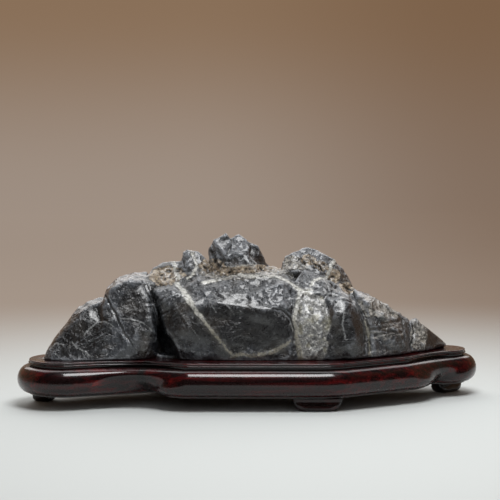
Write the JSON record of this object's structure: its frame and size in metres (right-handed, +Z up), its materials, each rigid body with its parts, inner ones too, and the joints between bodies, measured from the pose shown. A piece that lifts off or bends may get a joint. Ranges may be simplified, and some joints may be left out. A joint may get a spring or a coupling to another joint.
{
  "type": "scholars rock",
  "caption": "Dark mountain-shaped viewing stone with pale veins, resting in the carved seat of a low lobed lacquered wooden stand on short feet.",
  "frame": {"origin": "middle of the stand's plan, on the surface that the feet stand on", "axes": "+X along the stone, to the right as seen from the display side; -Y is the display side; +Z is up"},
  "size_m": [0.361, 0.126, 0.1312],
  "materials": {
    "stone": "satin",
    "lacquered_wood": "gloss"
  },
  "bodies": {
    "root": {"stone": "stone", "stand": "lacquered_wood", "foot_front": "lacquered_wood", "foot_right": "lacquered_wood", "foot_left": "lacquered_wood", "foot_back": "lacquered_wood"}
  },
  "joints": []
}
